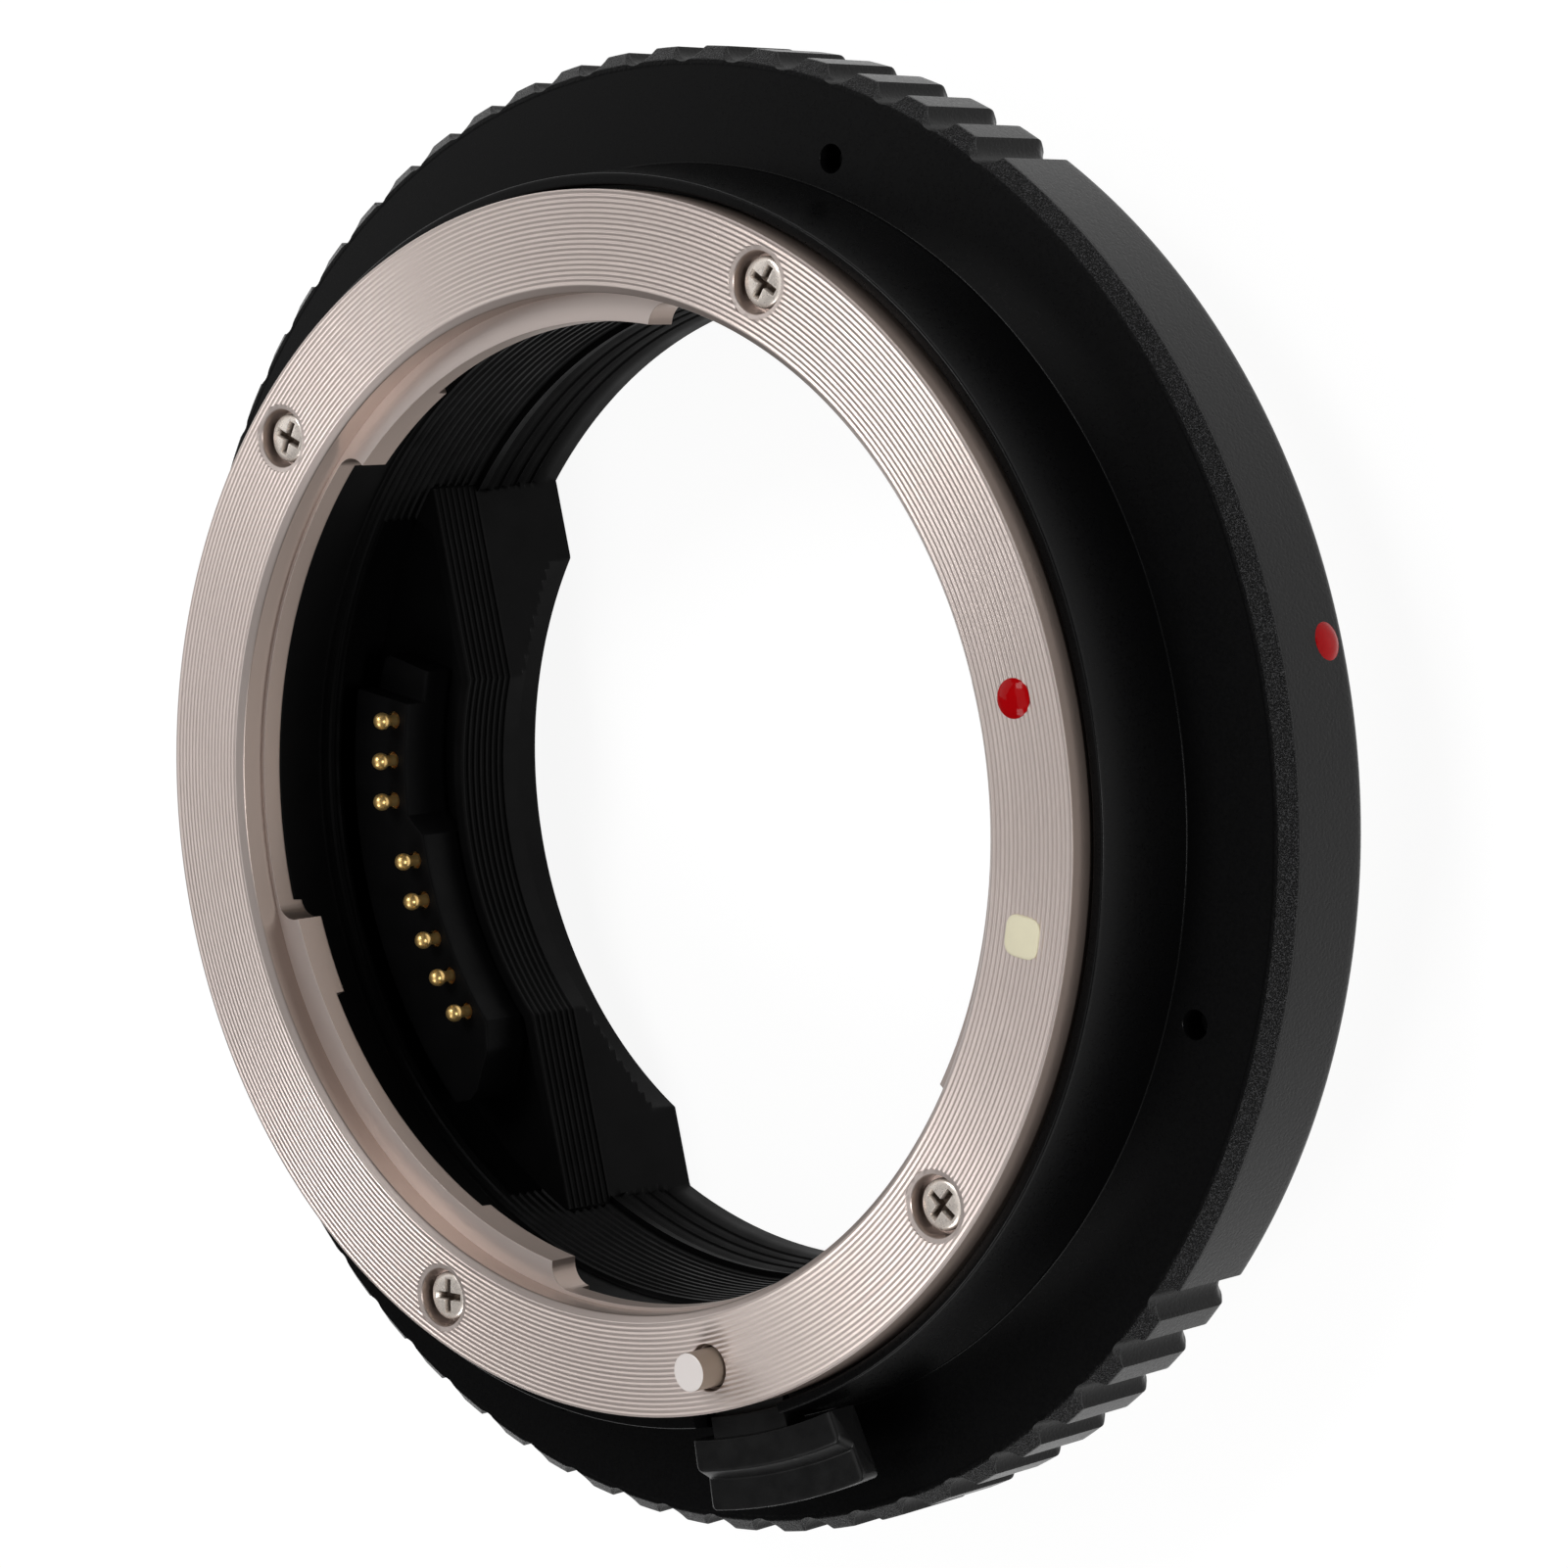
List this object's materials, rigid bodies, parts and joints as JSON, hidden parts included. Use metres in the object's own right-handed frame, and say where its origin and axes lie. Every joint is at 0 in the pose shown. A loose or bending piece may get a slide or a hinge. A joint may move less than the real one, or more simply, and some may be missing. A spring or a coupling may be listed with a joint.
{
  "type": "lens mount adapter",
  "caption": "Short black ring adapter with a plated lens bayonet on top, a lugged camera bayonet below, sprung contacts, a lock pin and a release lever.",
  "frame": {"origin": "on the light axis, in the plane of the rear end of the camera bayonet tube, which the part stands on", "axes": "+Z along the light axis from the camera side to the lens side; +X from the axis towards the two round index dots; +Y completes the right-handed set, so the lock pin is near -Y and the sprung contacts are near -X"},
  "size_m": [0.0802, 0.08, 0.022],
  "materials": {
    "black_anodised": "satin black anodised aluminium with fine blasted grain",
    "black_release": "semi-gloss black lever",
    "black_moulding": "matte black moulded plastic with light trap grooves",
    "contact_moulding": "matte black contact block",
    "plated_ring": "warm satin plating, face turned with fine concentric lines",
    "rear_plated_ring": "satin plated rear bayonet",
    "screw_metal": "bright nickel screws",
    "pin_metal": "satin plated pin",
    "contact_gold": "polished gold plating",
    "red_mark": "glossy red filled mark",
    "cream_mark": "cream filled square mark"
  },
  "bodies": {
    "adapter": {"body_shell": "black_anodised", "front_bayonet_ring": "plated_ring", "ring_index_dot": "red_mark", "ring_square_mark": "cream_mark", "band_index_dot": "red_mark", "inner_sleeve": "black_moulding", "contact_block": "contact_moulding", "rear_baffle": "black_moulding", "rear_bayonet_ring": "rear_plated_ring", "rear_contact_pads": "contact_gold", "ring_screw_1": "screw_metal", "rear_screw_1": "screw_metal", "ring_screw_2": "screw_metal", "rear_screw_2": "screw_metal", "ring_screw_3": "screw_metal", "rear_screw_3": "screw_metal", "ring_screw_4": "screw_metal", "rear_screw_4": "screw_metal"},
    "release": {"lock_pin": "pin_metal", "release_lever": "black_release"},
    "contact_1_plunger": {"contact_1": "contact_gold"},
    "contact_2_plunger": {"contact_2": "contact_gold"},
    "contact_3_plunger": {"contact_3": "contact_gold"},
    "contact_4_plunger": {"contact_4": "contact_gold"},
    "contact_5_plunger": {"contact_5": "contact_gold"},
    "contact_6_plunger": {"contact_6": "contact_gold"},
    "contact_7_plunger": {"contact_7": "contact_gold"},
    "contact_8_plunger": {"contact_8": "contact_gold"}
  },
  "joints": [
    {"name": "release_slide", "type": "slide", "parent": "adapter", "child": "release", "axis": [0, 0, -1], "range_m": [0, 0.0018], "stiffness_N_per_m": 400},
    {"name": "contact_1_slide", "type": "slide", "parent": "adapter", "child": "contact_1_plunger", "axis": [0, 0, -1], "range_m": [0, 0.0009], "stiffness_N_per_m": 300},
    {"name": "contact_2_slide", "type": "slide", "parent": "adapter", "child": "contact_2_plunger", "axis": [0, 0, -1], "range_m": [0, 0.0009], "stiffness_N_per_m": 300},
    {"name": "contact_3_slide", "type": "slide", "parent": "adapter", "child": "contact_3_plunger", "axis": [0, 0, -1], "range_m": [0, 0.0009], "stiffness_N_per_m": 300},
    {"name": "contact_4_slide", "type": "slide", "parent": "adapter", "child": "contact_4_plunger", "axis": [0, 0, -1], "range_m": [0, 0.0009], "stiffness_N_per_m": 300},
    {"name": "contact_5_slide", "type": "slide", "parent": "adapter", "child": "contact_5_plunger", "axis": [0, 0, -1], "range_m": [0, 0.0009], "stiffness_N_per_m": 300},
    {"name": "contact_6_slide", "type": "slide", "parent": "adapter", "child": "contact_6_plunger", "axis": [0, 0, -1], "range_m": [0, 0.0009], "stiffness_N_per_m": 300},
    {"name": "contact_7_slide", "type": "slide", "parent": "adapter", "child": "contact_7_plunger", "axis": [0, 0, -1], "range_m": [0, 0.0009], "stiffness_N_per_m": 300},
    {"name": "contact_8_slide", "type": "slide", "parent": "adapter", "child": "contact_8_plunger", "axis": [0, 0, -1], "range_m": [0, 0.0009], "stiffness_N_per_m": 300}
  ]
}
